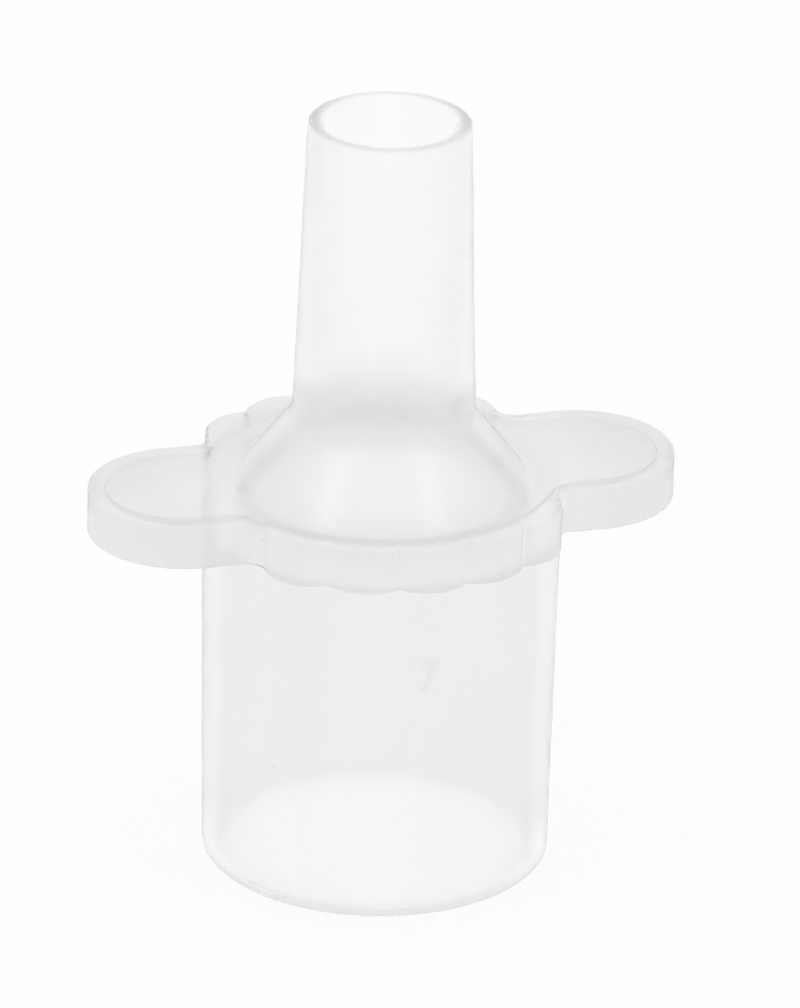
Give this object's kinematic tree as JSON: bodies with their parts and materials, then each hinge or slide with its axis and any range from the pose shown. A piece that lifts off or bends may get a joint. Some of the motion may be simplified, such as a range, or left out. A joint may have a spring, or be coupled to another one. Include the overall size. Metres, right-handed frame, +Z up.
{
  "type": "winged tube connector",
  "caption": "Hollow one-piece translucent connector: a tapered tube spigot on a conical shoulder, a scalloped flange with two finger wings, and a male cone barrel open at its foot.",
  "frame": {"origin": "centre of the barrel's open mouth, where the connector stands", "axes": "+Z up along the bore to the spigot's mouth, +X towards the right finger wing, +Y towards the rear scalloped edge; the numeral faces -Y"},
  "size_m": [0.026, 0.0176, 0.0342],
  "materials": {
    "natural_polypropylene": "translucent natural polypropylene, satin moulded skin"
  },
  "bodies": {
    "root": {"barrel_lip": "natural_polypropylene", "cone_barrel": "natural_polypropylene", "size_numeral": "natural_polypropylene", "flange_web": "natural_polypropylene", "left_wing": "natural_polypropylene", "right_wing": "natural_polypropylene", "left_wing_rim": "natural_polypropylene", "right_wing_rim": "natural_polypropylene", "front_grip_rim": "natural_polypropylene", "rear_grip_rim": "natural_polypropylene", "shoulder": "natural_polypropylene", "spigot_tube": "natural_polypropylene", "spigot_lip": "natural_polypropylene"}
  },
  "joints": []
}
